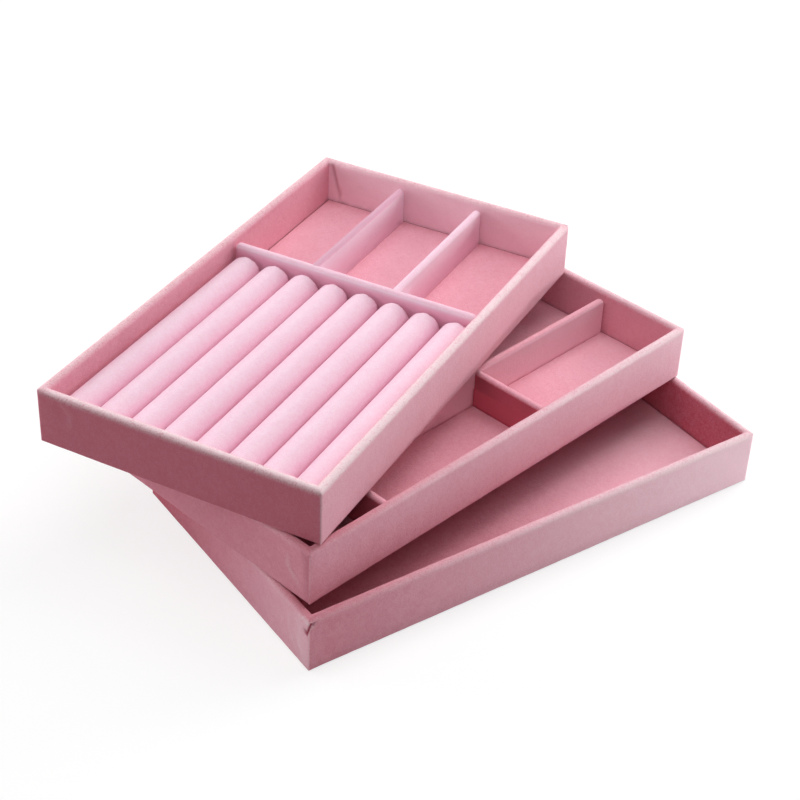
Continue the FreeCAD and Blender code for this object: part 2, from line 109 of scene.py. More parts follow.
class NodeTree:
    """Short calls for building one material's nodes."""

    def __init__(self, name: str) -> None:
        """Starts a node material.

        Args:
            name: The material's name.
        """
        self.material = bpy.data.materials.new(name)
        self.material.use_nodes = True
        self.tree = self.material.node_tree
        self.shader = self.tree.nodes["Principled BSDF"]

    def add(self, kind: str, **settings: object) -> bpy.types.Node:
        """Adds a node.

        Args:
            kind: The node's type without its ShaderNode prefix.
            **settings: Properties of the node.

        Returns:
            The new node.
        """
        node = self.tree.nodes.new(f"ShaderNode{kind}")
        for key, value in settings.items():
            setattr(node, key, value)
        return node

    def join(self, source: NodeSocket, target: NodeSocket) -> None:
        """Links two sockets."""
        self.tree.links.new(source, target)

    def feed(self, name: str, source: NodeSocket) -> None:
        """Links a socket to one of the shader's inputs."""
        self.join(source, self.shader.inputs[name])

    def level(self, name: str, value: object) -> None:
        """Sets one of the shader's inputs."""
        self.shader.inputs[name].default_value = value

    def noise(self, scale: float, detail: float, roughness: float = 0.5) -> NodeSocket:
        """Adds a noise on object coordinates.

        Args:
            scale: Waves to the metre.
            detail: Octaves above the first.
            roughness: Strength of each octave beside the one before.

        Returns:
            The noise's value socket.
        """
        texture = self.add("TexNoise")
        texture.inputs["Scale"].default_value = scale
        texture.inputs["Detail"].default_value = detail
        texture.inputs["Roughness"].default_value = roughness
        self.join(self.add("TexCoord").outputs["Object"], texture.inputs["Vector"])
        return texture.outputs["Fac"]

    def attribute(self, mask: Mask) -> NodeSocket:
        """Reads a point attribute of the mesh, which is zero where the mesh has none."""
        return self.add("Attribute", attribute_name=mask.value).outputs["Fac"]

    def stretch(self, source: NodeSocket, low: float, high: float, soft: bool = True) -> NodeSocket:
        """Maps a value's range from low to high onto zero to one.

        Args:
            source: The value.
            low: What becomes zero.
            high: What becomes one.
            soft: Whether the ends are eased.

        Returns:
            The mapped value.
        """
        node = self.add("MapRange", interpolation_type="SMOOTHSTEP" if soft else "LINEAR")
        node.inputs["From Min"].default_value = low
        node.inputs["From Max"].default_value = high
        self.join(source, node.inputs["Value"])
        return node.outputs["Result"]

    def math(self, operation: str, first: NodeSocket, second: Union[NodeSocket, float]) -> NodeSocket:
        """Combines a value with another one or with a number.

        Args:
            operation: The node's operation, such as MULTIPLY.
            first: The first value.
            second: A socket or a number.

        Returns:
            The combined value.
        """
        node = self.add("Math", operation=operation)
        self.join(first, node.inputs[0])
        if isinstance(second, NodeSocket):
            self.join(second, node.inputs[1])
        else:
            node.inputs[1].default_value = second
        return node.outputs["Value"]

    def weigh(self, values: Iterable[NodeSocket], shares: Iterable[float]) -> NodeSocket:
        """Adds values up, each with a share of its own.

        Args:
            values: The values.
            shares: Their shares.

        Returns:
            The sum.
        """
        total, *others = [self.math("MULTIPLY", value, share) for value, share in zip(values, shares)]
        for other in others:
            total = self.math("ADD", total, other)
        return total

    def blend(self, share: NodeSocket, low: Union[NodeSocket, Colour], high: Colour) -> NodeSocket:
        """Mixes two colours.

        Args:
            share: How much of the second colour shows.
            low: The first colour, as a socket or three numbers.
            high: The second colour.

        Returns:
            The mixed colour.
        """
        node = self.add("Mix", data_type="RGBA")
        self.join(share, node.inputs["Factor"])
        if isinstance(low, NodeSocket):
            self.join(low, node.inputs[6])
        else:
            node.inputs[6].default_value = (*low, 1.0)
        node.inputs[7].default_value = (*high, 1.0)
        return node.outputs[2]

    def bump(self, height: NodeSocket, depth: float, strength: float = 1.0,
             below: Optional[NodeSocket] = None) -> NodeSocket:
        """Adds a bump.

        Args:
            height: The relief, from zero to one.
            depth: How deep the relief is, in metres.
            strength: The bump's strength.
            below: The normal of a coarser bump underneath.

        Returns:
            The bumped normal.
        """
        node = self.add("Bump")
        node.inputs["Strength"].default_value = strength
        node.inputs["Distance"].default_value = depth
        self.join(height, node.inputs["Height"])
        if below is not None:
            self.join(below, node.inputs["Normal"])
        return node.outputs["Normal"]


@dataclass(frozen=True)
class VelvetFinish:
    """Short-pile velvet: cloudy brushed nap, fine pile, painted light and shade, painted highlights on bends
    and painted shade in folds.
    """

    name: str
    slot: str
    nap: Colour
    # deep and pale are shaded and lit copies of the velvet's colour, for painted shade and painted light.
    deep: Colour
    pale: Colour
    # The colours of the painted highlight and of the painted shade.
    highlight_colour: Colour
    painted_shade_colour: Colour
    sheen: float
    sheen_tint: tuple[float, float, float, float] = (1.0, 0.90, 0.93, 1.0)
    grain: float = 0.18
    cloud_scale: float = 28.0
    brush_scale: float = 130.0
    nap_scale: float = 420.0
    nap_depth: float = 0.00022
    nap_bump: float = 0.55
    pile_scale: float = 1500.0
    pile_depth: float = 0.00032
    pile_bump: float = 0.6
    tone_shares: tuple[float, ...] = (0.12, 0.12, 0.26, 0.5)
    tone_range: Pair = (0.36, 0.64)
    speckle_shares: Pair = (0.3, 0.7)
    speckle_range: Pair = (0.24, 0.60)
    roughness: float = 0.95
    gloss: float = 0.12

    def material(self) -> Material:
        """Builds the node material.

        Returns:
            The material.
        """
        nodes = NodeTree(self.name)
        clouds = nodes.noise(self.cloud_scale, detail=2.0)
        brushed = nodes.noise(self.brush_scale, detail=3.0, roughness=0.55)
        nap = nodes.noise(self.nap_scale, detail=3.0, roughness=0.6)
        pile = nodes.noise(self.pile_scale, detail=2.0, roughness=0.65)
        uneven = nodes.weigh((clouds, brushed, nap, pile), self.tone_shares)
        tone = nodes.stretch(uneven, *self.tone_range)
        # Painted light and shade: a mix from the deep colour through the velvet's own to the pale one, with
        # random grain.
        lean = nodes.math("ADD", nodes.attribute(Mask.PAINTED_LIGHT), 0.5 - self.grain / 2)
        height = nodes.math("ADD", lean, nodes.math("MULTIPLY", tone, self.grain))
        colour = nodes.blend(nodes.stretch(height, 0.0, 0.5, soft=False), self.deep, self.nap)
        colour = nodes.blend(nodes.stretch(height, 0.5, 1.0, soft=False), colour, self.pale)
        # Painted highlight, broken up by speckle of the nap and pile.
        speckle = nodes.stretch(nodes.weigh((nap, pile), self.speckle_shares), *self.speckle_range)
        highlighted = nodes.math("MULTIPLY", nodes.attribute(Mask.PAINTED_HIGHLIGHT), speckle)
        colour = nodes.blend(nodes.math("MINIMUM", highlighted, 1.0), colour, self.highlight_colour)
        # Painted shade.
        colour = nodes.blend(nodes.attribute(Mask.PAINTED_SHADE), colour, self.painted_shade_colour)
        nodes.feed("Base Color", colour)
        coarse = nodes.bump(nap, self.nap_depth, self.nap_bump)
        nodes.feed("Normal", nodes.bump(pile, self.pile_depth, self.pile_bump, coarse))
        nodes.level("Roughness", self.roughness)
        nodes.level("Specular IOR Level", self.gloss)
        # The sheen fades where shade is painted.
        lost = nodes.math("MULTIPLY", nodes.attribute(Mask.PAINTED_SHADE), -self.sheen)
        nodes.feed("Sheen Weight", nodes.math("ADD", lost, self.sheen))
        nodes.level("Sheen Roughness", 0.5)
        nodes.level("Sheen Tint", self.sheen_tint)
        return nodes.material


@dataclass(frozen=True)
class FibreFinish:
    """Raw board, card or felt: matted fibres with specks of another colour."""

    name: str
    slot: str
    ground: Colour
    fibre: Colour
    fleck: Colour
    fibre_scale: float = 700.0
    roughness: float = 0.9
    gloss: float = 0.2
    cloud_size: float = 12.0
    fibre_range: Pair = (0.3, 0.7)
    fleck_range: Pair = (0.62, 0.8)
    fibre_depth: float = 0.00015
    fibre_bump: float = 0.5

    def material(self) -> Material:
        """Builds the node material.

        Returns:
            The material.
        """
        nodes = NodeTree(self.name)
        matted = nodes.noise(self.fibre_scale, detail=4.0, roughness=0.6)
        cloud = nodes.noise(self.fibre_scale / self.cloud_size, detail=2.0)
        colour = nodes.blend(nodes.stretch(matted, *self.fibre_range), self.ground, self.fibre)
        nodes.feed("Base Color", nodes.blend(nodes.stretch(cloud, *self.fleck_range), colour, self.fleck))
        nodes.feed("Normal", nodes.bump(matted, self.fibre_depth, self.fibre_bump))
        nodes.level("Roughness", self.roughness)
        nodes.level("Specular IOR Level", self.gloss)
        return nodes.material


@dataclass(frozen=True)
class FoamFinish:
    """Open-cell foam: pale, with pores."""

    name: str
    slot: str
    skin: Colour
    pore: Colour
    pore_scale: float = 900.0
    pore_range: Pair = (0.1, 0.45)
    pore_depth: float = 0.0003
    roughness: float = 0.9

    def material(self) -> Material:
        """Builds the node material.

        Returns:
            The material.
        """
        nodes = NodeTree(self.name)
        cells = nodes.add("TexVoronoi")
        cells.inputs["Scale"].default_value = self.pore_scale
        nodes.join(nodes.add("TexCoord").outputs["Object"], cells.inputs["Vector"])
        pores = nodes.stretch(cells.outputs["Distance"], *self.pore_range)
        nodes.feed("Base Color", nodes.blend(pores, self.pore, self.skin))
        nodes.feed("Normal", nodes.bump(pores, self.pore_depth))
        nodes.level("Roughness", self.roughness)
        return nodes.material


# Each velvet's own colour, its deep and pale copies for painted shade and light, and its painted highlight
# and painted shade colours.
TRAY_VELVET = VelvetFinish(
    "dusty_pink_velvet", "tray_velvet", nap=(0.84, 0.40, 0.485), deep=(0.62, 0.135, 0.19),
    pale=(0.97, 0.67, 0.75), highlight_colour=(0.95, 0.745, 0.78), painted_shade_colour=(0.30, 0.022, 0.05), sheen=0.08)
INSERT_VELVET = VelvetFinish(
    "pastel_pink_velvet", "insert_velvet", nap=(0.88, 0.51, 0.64), deep=(0.72, 0.40, 0.51),
    pale=(0.98, 0.78, 0.88), highlight_colour=(0.96, 0.82, 0.89), painted_shade_colour=(0.82, 0.20, 0.38), sheen=0.0,
    pile_depth=0.00016)
BOARD = FibreFinish("grey_board", "board", (0.20, 0.17, 0.14), (0.30, 0.26, 0.21), (0.13, 0.11, 0.09))
CARD = FibreFinish("card", "card", (0.36, 0.30, 0.24), (0.46, 0.40, 0.32), (0.25, 0.21, 0.17))
FELT = FibreFinish("underside_felt", "underside_cloth", (0.42, 0.17, 0.22), (0.56, 0.26, 0.31),
                   (0.36, 0.14, 0.18), fibre_scale=900.0, roughness=0.96)
FOAM = FoamFinish("roll_foam", "foam", (0.84, 0.80, 0.72), (0.55, 0.50, 0.43))


class Wardrobe:
    """Makes each finish's material once and hands it out."""

    def __init__(self) -> None:
        """Starts with no materials."""
        self.made: dict[str, Material] = {}

    def get(self, finish: Finish) -> Material:
        """Gives a finish's material.

        Args:
            finish: The finish.

        Returns:
            Its material, built at the first call.
        """
        if finish.name not in self.made:
            self.made[finish.name] = finish.material()
        return self.made[finish.name]

    def dress_node(self, node: str, finish: Finish) -> None:
        """Puts a finish on a CAD node that stays as it is.

        Args:
            node: The node's name.
            finish: The finish.
        """
        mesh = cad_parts[node].data
        mesh.materials.clear()
        mesh.materials.append(self.get(finish))
        LOG.info("dressed %s in %s", node, finish.name)


@dataclass(frozen=True)
class Crease:
    """A soft fold in a tray's velvet.

    A point of the path is a place along the skin, a height and a strength. On the outside the place is
    counted from the near corner, above zero on the left face and below zero on the front face, and the
    height runs on over the rim. On the lining it is counted from the back corner. A depth above zero
    presses the cloth in. A shade is painted shade along the fold, and a highlight a painted highlight along
    it.
    """

    path: tuple[Triple, ...]
    depth: float
    breadth: float
    shade: float = 0.0
    lift: float = 0.0
    skin: Skin = Skin.OUTSIDE
    reach: float = 3.0

    def strength(self, along: float, height: float) -> float:
        """How strongly the fold shows at a place.

        Args:
            along: Place along the skin.
            height: Place up the cloth.

        Returns:
            A number from zero to one.
        """
        far = self.reach * self.breadth
        places = [point[0] for point in self.path]
        if along < min(places) - far or along > max(places) + far:
            return 0.0
        spot = Vector((along, height))
        best = 0.0
        for start, end in zip(self.path, self.path[1:]):
            first, step = Vector(start[:2]), Vector(end[:2]) - Vector(start[:2])
            share = clamp((spot - first).dot(step) / step.length_squared)
            away = (spot - first - step * share).length
            best = max(best, mix(start[2], end[2], share) * math.exp(-((away / self.breadth) ** 2)))
        return best


@dataclass(frozen=True)
class PaintedLightAndShade:
    """Painted light and shade on a tray's velvet.

    A value below zero paints shade with the deep colour, and one above zero paints light with the pale one.
    A shade is painted shade on a face, and the last field is the painted highlight on the rim at its near
    end.
    """

    left_near: float
    left_far: float
    front_near: float
    front_far: float
    front_foot: float
    rim_near: float
    rim_far: float
    rim_behind: float
    rear_lining: float
    right_lining: float
    floor_near: float
    floor_far: float
    left_shade: float
    front_shade: float
    rim_shade: float
    rim_highlight: float


@dataclass(frozen=True)
class TrayPlace:
    """Where a tray lies in the fanned stack."""

    name: str
    level: int
    shift_x: float
    shift_y: float
    turn: float
    pitch: float = 29.9

    @property
    def matrix(self) -> Matrix:
        """From the tray's millimetres to the part's frame in metres."""
        shift = Matrix.Translation((self.shift_x * MM, self.shift_y * MM, self.level * self.pitch * MM))
        return shift @ Matrix.Rotation(math.radians(self.turn), 4, "Z") @ Matrix.Scale(MM, 4)

    @property
    def body(self) -> str:
        """The CAD body that the tray's own pieces ride on."""
        return f"{self.name}_tray"


def edges_along(mesh: BMesh, axis: int, shortest: float, longest: float) -> list[BMEdge]:
    """Edges that run along an axis and have a length in a range.

    Args:
        mesh: The mesh.
        axis: 0, 1 or 2 for X, Y or Z.
        shortest: The least length.
        longest: The greatest length.

    Returns:
        The edges.
    """
    found = []
    for edge in mesh.edges:
        step = edge.verts[1].co - edge.verts[0].co
        if shortest <= abs(step[axis]) <= longest and abs(step[axis]) > STRAIGHT * step.length:
            found.append(edge)
    return found


def split_along(mesh: BMesh, axis: int, shortest: float, longest: float, pace: float) -> None:
    """Splits edges along an axis into even steps.

    Args:
        mesh: The mesh.
        axis: 0, 1 or 2 for X, Y or Z.
        shortest: The least length of an edge that is split.
        longest: The greatest length of one.
        pace: The length of a step.
    """
    by_count: dict[int, list[BMEdge]] = {}
    for edge in edges_along(mesh, axis, shortest, longest):
        by_count.setdefault(max(1, round(edge.calc_length() / pace) - 1), []).append(edge)
    for cuts, edges in by_count.items():
        bmesh.ops.subdivide_edges(mesh, edges=edges, cuts=cuts, use_grid_fill=True)


def slice_at(mesh: BMesh, axis: int, places: Iterable[float]) -> None:
    """Cuts new edges into a mesh where planes across an axis meet it.

    Args:
        mesh: The mesh.
        axis: 0, 1 or 2 for X, Y or Z.
        places: Where the planes lie.
    """
    normal = Vector((axis == 0, axis == 1, axis == 2))
    for place in places:
        geometry = mesh.verts[:] + mesh.edges[:] + mesh.faces[:]
        bmesh.ops.bisect_plane(mesh, geom=geometry, plane_co=normal * place, plane_no=normal)


def round_edges(mesh: BMesh, edges: list[BMEdge], radius: float, segments: int) -> None:
    """Rounds edges over.

    Args:
        mesh: The mesh.
        edges: The edges.
        radius: How far the round-over reaches.
        segments: Its number of strips.
    """
    bmesh.ops.bevel(mesh, geom=edges, offset=radius, offset_type="OFFSET", segments=segments, profile=0.5,
                    affect="EDGES", material=-1, clamp_overlap=True)


def box_mesh(low: Triple, high: Triple) -> BMesh:
    """Starts a mesh from a block.

    Args:
        low: Its lowest corner.
        high: Its highest corner.

    Returns:
        The mesh.
    """
    mesh = bmesh.new()
    bmesh.ops.create_cube(mesh, size=1.0)
    sizes = [top - foot for foot, top in zip(low, high)]
    middle = [(top + foot) / 2 for foot, top in zip(low, high)]
    bmesh.ops.scale(mesh, vec=sizes, verts=mesh.verts)
    bmesh.ops.translate(mesh, vec=middle, verts=mesh.verts)
    return mesh


def facing(mesh: BMesh, axis: int, sign: int) -> BMFace:
    """The largest face that looks one way along an axis.

    Args:
        mesh: The mesh.
        axis: 0, 1 or 2 for X, Y or Z.
        sign: 1 or -1.

    Returns:
        The face.
    """
    mesh.normal_update()
    faces = [face for face in mesh.faces if face.normal[axis] * sign > SQUARE]
    return max(faces, key=lambda face: face.calc_area())


@dataclass(frozen=True)
class Ripple:
    """A soft unevenness that presses a surface in by up to its depth, never out."""

    depth: float
    wave: float
    shift: float = 0.0

    def press(self, mesh: BMesh, seed: float) -> None:
        """Presses the ripple into a mesh.

        Args:
            mesh: The mesh.
            seed: Shifts the pattern, on top of the ripple's own shift.
        """
        mesh.normal_update()
        place = seed + self.shift
        for vert in mesh.verts:
            level = noise.noise(vert.co / self.wave + Vector((place, place, place)))
            vert.co -= vert.normal * self.depth * clamp(0.5 + 0.5 * level)


def add_mask(obj: Object, mask: Mask, values: list[float]) -> None:
    """Writes a point attribute that a finish reads.

    Args:
        obj: The piece.
        mask: The attribute.
        values: One number for each vertex.
    """
    layer = obj.data.attributes.new(mask.value, "FLOAT", "POINT")
    layer.data.foreach_set("value", values)


def finish_piece(name: str, mesh: BMesh, place: TrayPlace, body: str, finish: Finish, wardrobe: Wardrobe,
                 corner_angle: float = 40.0) -> Object:
    """Turns a mesh in a tray's millimetres into a dressed piece that rides on a body.

    Args:
        name: The piece's name.
        mesh: The mesh, which is freed.
        place: The tray's place.
        body: The CAD body.
        finish: The finish.
        wardrobe: Where the material comes from.
        corner_angle: Edges that bend by more degrees than this stay sharp.

    Returns:
        The piece.
    """
    bmesh.ops.transform(mesh, matrix=place.matrix, verts=mesh.verts)
    data = bpy.data.meshes.new(name)
    mesh.to_mesh(data)
    mesh.free()
    data.shade_smooth()
    data.set_sharp_from_angle(angle=math.radians(corner_angle))
    data.materials.append(wardrobe.get(finish))
    piece = bpy.data.objects.new(name, data)
    bpy.context.scene.collection.objects.link(piece)
    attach(piece, body)
    LOG.info("built %s with %d faces", name, len(data.polygons))
    return piece


def thicken(piece: Object, thickness: float) -> None:
    """Gives a cloth its thickness, inwards from its face.

    Args:
        piece: The cloth.
        thickness: Its thickness in millimetres.
    """
    solid = piece.modifiers.new("thickness", "SOLIDIFY")
    solid.thickness = thickness * MM
    solid.offset = -1.0


@dataclass
class TrayBox:
    """One tray: boards inside, a velvet wrap round them, a velvet floor and a felt panel underneath.

    An outer corner's two numbers are its plan radius at the foot and at the rim. A split's three numbers
    are the shortest and the longest edge that it divides and its step.
    """

    place: TrayPlace
    wardrobe: Wardrobe
    creases: tuple[Crease, ...]
    # The painted light and shade of the tray's velvet.
    nap: PaintedLightAndShade
    seed: float
    length: float = 265.0
    width: float = 150.0
    height: float = 29.8
    wall: float = 5.0
    foot: float = 0.3
    base_top: float = 3.8
    floor_top: float = 5.8
    hem: float = 12.0
    rim_radius: float = 2.4
    rim_steps: int = 6
    plan_radius: float = 3.5
    plan_steps: int = 5
    near_left: Pair = (1.0, 1.6)
    near_right: Pair = (2.8, 2.8)
    far_left: Pair = (1.6, 2.4)
    far_right: Pair = (1.2, 1.6)
    inner_radius: float = 0.5
    corner_pinch: float = 3.4
    foot_radius: float = 0.6
    foot_steps: int = 2
    floor_gap: float = 0.05
    cloth: float = 0.9
    floor_cloth: float = 0.55
    level_splits: tuple[Triple, ...] = ((60.0, 265.0, 2.2), (4.5, 12.0, 0.8), (3.3, 4.0, 0.33))
    upright_split: Triple = (10.0, 29.8, 0.8)
    weld: float = 0.02
    skin_margin: float = 0.5
    hem_margin: float = 0.05
    lining_reach: float = 0.6
    ripples: tuple[Ripple, ...] = (Ripple(0.14, 9.0), Ripple(0.10, 2.4, 5.0))
    floor_ripple: Ripple = Ripple(0.16, 14.0, 11.0)
    floor_grid: tuple[int, int] = (86, 48)
    floor_slices: tuple[float, ...] = (0.4, 0.9, 1.6)
    floor_dip: float = 0.3
    floor_dip_reach: float = 0.8
    # Painted shade along the floor's edges, where it meets the walls.
    floor_shade: float = 0.85
    floor_shade_reach: float = 0.5
    # Painted highlight on the rim: its strength at the far end and behind, and its limit on the left.
    rim_highlight_far: float = 1.0
    rim_highlight_behind: float = 0.7
    left_highlight_limit: float = 0.8
    bend_start: float = 1.5
    outer_share: float = 0.5
    behind_share: float = 0.35
    lining_slack: float = 0.3
    foot_reach: float = 0.8
    # Strength of the painted highlight along the folds.
    crease_highlight: float = 2.5

    def rim_stations(self) -> list[Pair]:
        """Where the band runs from the outside over the rim and down the lining.

        Returns:
            Each station's inset from the tray's outside and its height.
        """
        radius, spring = self.rim_radius, self.height - self.rim_radius
        turns = [QUARTER_TURN * step / self.rim_steps for step in range(self.rim_steps + 1)]
        outer = [(radius * (1 - math.cos(turn)), spring + radius * math.sin(turn)) for turn in turns]
        inner = [(self.wall - radius * (1 - math.sin(turn)), spring + radius * math.cos(turn))
                 for turn in turns]
        return [*outer, *inner, (self.wall, self.base_top)]

    def foot_stations(self) -> list[Pair]:
        """Where the band runs from the outside round the foot and along the hem.

        Returns:
            Each station's inset from the tray's outside and its height.
        """
        radius, spring = self.foot_radius, self.foot + self.foot_radius
        turns = [QUARTER_TURN * step / self.foot_steps for step in range(self.foot_steps + 1)]
        bend = [(radius * (1 - math.cos(turn)), spring - radius * math.sin(turn)) for turn in turns]
        return [*bend, (self.hem, self.foot)]

    def wrap_band(self) -> BMesh:
        """Folds the band of velvet ring by ring: outside, round rim, lining and hem.

        Returns:
            The band's outer surface.
        """
        half = Vector((self.length / 2, self.width / 2))
        mesh = box_mesh((-half.x, -half.y, self.foot), (half.x, half.y, self.height))
        upright = edges_along(mesh, 2, self.height / 2, self.height)
        round_edges(mesh, upright, self.plan_radius, self.plan_steps)
        caps = [(facing(mesh, 2, 1), self.rim_stations()), (facing(mesh, 2, -1), self.foot_stations())]
        rings: list[tuple[list[BMVert], Pair]] = []
        for cap, stations in caps:
            edges = list(cap.edges)
            rings.append((list(cap.verts), stations[0]))
            bmesh.ops.delete(mesh, geom=[cap], context="FACES_ONLY")
            for station in stations[1:]:
                grown = bmesh.ops.extrude_edge_only(mesh, edges=edges)["geom"]
                edges = [item for item in grown if isinstance(item, BMEdge) and item.is_boundary]
                rings.append(([item for item in grown if isinstance(item, BMVert)], station))
        for verts, station in rings:
            for vert in verts:
                self.seat(vert, *station)
        bmesh.ops.recalc_face_normals(mesh, faces=mesh.faces)
        return mesh

    def seat(self, vert: BMVert, inset: float, height: float) -> None:
        """Moves a vertex of the plain outline to its station, round the corner that it has there.

        Args:
            vert: The vertex, on one of the outline's round corners.
            inset: Its distance from the tray's outside.
            height: Its height.
        """
        reach_x = abs(vert.co.x) - (self.length / 2 - self.plan_radius)
        reach_y = abs(vert.co.y) - (self.width / 2 - self.plan_radius)
        turn = math.atan2(max(reach_y, 0.0), max(reach_x, 0.0))
        vert.co.z = height
        radius = max(self.corner_radius(vert.co) - self.corner_pinch * inset, self.inner_radius)
        vert.co.x = math.copysign(self.length / 2 - inset - radius * (1 - math.cos(turn)), vert.co.x)
        vert.co.y = math.copysign(self.width / 2 - inset - radius * (1 - math.sin(turn)), vert.co.y)

    def corner_radius(self, spot: Vector) -> float:
        """The plan radius of the outer corner nearest to a point.

        Args:
            spot: The point.

        Returns:
            The radius at the point's height.
        """
        near, far = self.near_left, self.far_left
        if spot.x > 0:
            near, far = self.near_right, self.far_right
        low, rim = far if spot.y > 0 else near
        return mix(low, rim, clamp((spot.z - self.foot) / (self.height - self.foot)))

    def refine(self, mesh: BMesh) -> None:
        """Lays an even grid over the band, closer near the corners and closest at the near one.

        Args:
            mesh: The band.
        """
        for axis, size in ((0, self.length), (1, self.width)):
            edge = size / 2 - self.hem
            slice_at(mesh, axis, (-edge, edge, self.wall - size / 2))
            for split in self.level_splits:
                split_along(mesh, axis, *split)
        split_along(mesh, 2, *self.upright_split)
        bmesh.ops.remove_doubles(mesh, verts=mesh.verts, dist=self.weld)

    def skin_places(self, vert: BMVert) -> dict[Skin, Pair]:
        """Where a vertex lies on each skin that it is part of.

        Args:
            vert: The vertex.

        Returns:
            Its place along each of those skins and its height there.
        """
        near_x, near_y = vert.co.x + self.length / 2, vert.co.y + self.width / 2
        inset = min(near_x, near_y)
        places = {}
        if inset < self.wall - self.skin_margin and vert.co.z > self.foot + self.hem_margin:
            places[Skin.OUTSIDE] = (near_y - near_x, vert.co.z + inset)
        if abs(near_x - (self.length - self.wall)) < self.lining_reach:
            places[Skin.RIGHT_LINING] = (self.width - self.wall - near_y, vert.co.z)
        return places

    def press_creases(self, mesh: BMesh) -> dict[Mask, list[float]]:
        """Presses the folds into the velvet, and paints their shade and highlights with each face's light and
        shade.

        Args:
            mesh: The band.

        Returns:
            Each mask's number for each vertex.
        """
        masks: dict[Mask, list[float]] = {mask: [] for mask in Mask}
        mesh.normal_update()
        for vert in mesh.verts:
            shade, pale, move = self.shade(vert), 0.0, 0.0
            places = self.skin_places(vert)
            for crease in self.creases:
                if crease.skin not in places:
                    continue
                strength = crease.strength(*places[crease.skin])
                move += crease.depth * strength
                shade = max(shade, min(crease.shade * strength, 1.0))
                pale = max(pale, crease.lift * strength)
            masks[Mask.PAINTED_SHADE].append(shade)
            masks[Mask.PAINTED_HIGHLIGHT].append(max(self.lift(vert.co), self.crease_highlight * pale))
            masks[Mask.PAINTED_LIGHT].append(self.lean(vert))
            vert.co -= vert.normal * move
        return masks

    def lift(self, spot: Vector) -> float:
        """How much painted highlight a point gets: on the rim's outer bend, and on all of the rim behind.

        Args:
            spot: The point.

        Returns:
            A number that is zero away from the rim.
        """
        inset = min(self.length / 2 - abs(spot.x), self.width / 2 - abs(spot.y))
        rise = spot.z - (self.height - self.bend_start * self.rim_radius)
        bend = clamp(rise / self.rim_radius)
        edge = self.wall + self.lining_slack
        if max(spot.x - self.length / 2, spot.y - self.width / 2) > -edge:
            return bend * self.rim_highlight_behind * clamp((edge - inset) / (self.behind_share * self.wall))
        along = clamp(spot.x / self.length + 0.5)
        if spot.x < self.wall - self.length / 2:
            along = min(clamp(spot.y / self.width + 0.5), self.left_highlight_limit)
        outer = clamp((self.wall - inset) / (self.outer_share * self.wall))
        return bend * outer * mix(self.nap.rim_highlight, self.rim_highlight_far, along)

    def lean(self, vert: BMVert) -> float:
        """How much painted light, above zero, or painted shade, below zero, a vertex of the wrap gets.

        Args:
            vert: The vertex, with its normal up to date.

        Returns:
            The painted light or shade.
        """
        nap, normal = self.nap, vert.normal
        along_x, along_y = clamp(vert.co.x / self.length + 0.5), clamp(vert.co.y / self.width + 0.5)
        at_right = self.length / 2 - vert.co.x < self.wall + self.lining_slack
        at_rear = self.width / 2 - vert.co.y < self.wall + self.lining_slack
        left = mix(nap.left_near, nap.left_far, along_y)
        front = mix(nap.front_near, nap.front_far, along_x)
        front += nap.front_foot * clamp(1 - vert.co.z / (self.foot_reach * self.height))
        rim = nap.rim_behind if at_right or at_rear else mix(nap.rim_near, nap.rim_far, along_x)
        to_left = nap.right_lining if at_right else left
        to_front = nap.rear_lining if at_rear else front
        return (to_left * max(-normal.x, 0.0) ** 2 + to_front * max(-normal.y, 0.0) ** 2
                + front * max(normal.x, 0.0) ** 2 + rim * max(normal.z, 0.0) ** 2)

    def shade(self, vert: BMVert) -> float:
        """How much painted shade a vertex of the wrap gets, on the near rim and on the left and front faces.

        Args:
            vert: The vertex, with its normal up to date.

        Returns:
            A number from zero to one.
        """
        near_x, near_y = vert.co.x + self.length / 2, vert.co.y + self.width / 2
        shade = self.nap.rim_shade * max(vert.normal.z, 0.0) ** 2
        shade *= max(1 - 2 * max(near_x / self.length, near_y / self.width), 0.0)
        if near_x < self.wall:
            shade += self.nap.left_shade * max(-vert.normal.x, 0.0) ** 2
        if near_y < self.wall:
            shade += self.nap.front_shade * max(-vert.normal.y, 0.0) ** 2
        return shade

    def build_wrap(self) -> Object:
        """Makes the velvet wrap.

        Returns:
            The piece.
        """
        name = self.place.name
        mesh = self.wrap_band()
        self.refine(mesh)
        masks = self.press_creases(mesh)
        for ripple in self.ripples:
            ripple.press(mesh, self.seed)
        piece = finish_piece(f"{name}_wrap", mesh, self.place, self.place.body, TRAY_VELVET, self.wardrobe)
        for mask, values in masks.items():
            add_mask(piece, mask, values)
        thicken(piece, self.cloth)
        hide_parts(f"{name}_velvet_wrap")
        return piece

    def build_floor(self) -> Object:
        """Makes the velvet that lies on the floor card.

        Returns:
            The piece.
        """
        name = f"{self.place.name}_floor"
        size = Vector((self.length, self.width)) - Vector((1.0, 1.0)) * 2 * (self.wall + self.floor_gap)
        mesh = bmesh.new()
        across, back = self.floor_grid
        bmesh.ops.create_grid(mesh, x_segments=across, y_segments=back, size=0.5)
        bmesh.ops.scale(mesh, vec=(size.x, size.y, 1.0), verts=mesh.verts)
        bmesh.ops.translate(mesh, vec=(0, 0, self.floor_top), verts=mesh.verts)
        for axis, half in ((0, size.x / 2), (1, size.y / 2)):
            slice_at(mesh, axis, [sign * (half - inset) for sign in (-1, 1) for inset in self.floor_slices])
        self.floor_ripple.press(mesh, self.seed)
        shades, painted_lights = [], []
        for vert in mesh.verts:
            inset = min(size.x / 2 - abs(vert.co.x), size.y / 2 - abs(vert.co.y))
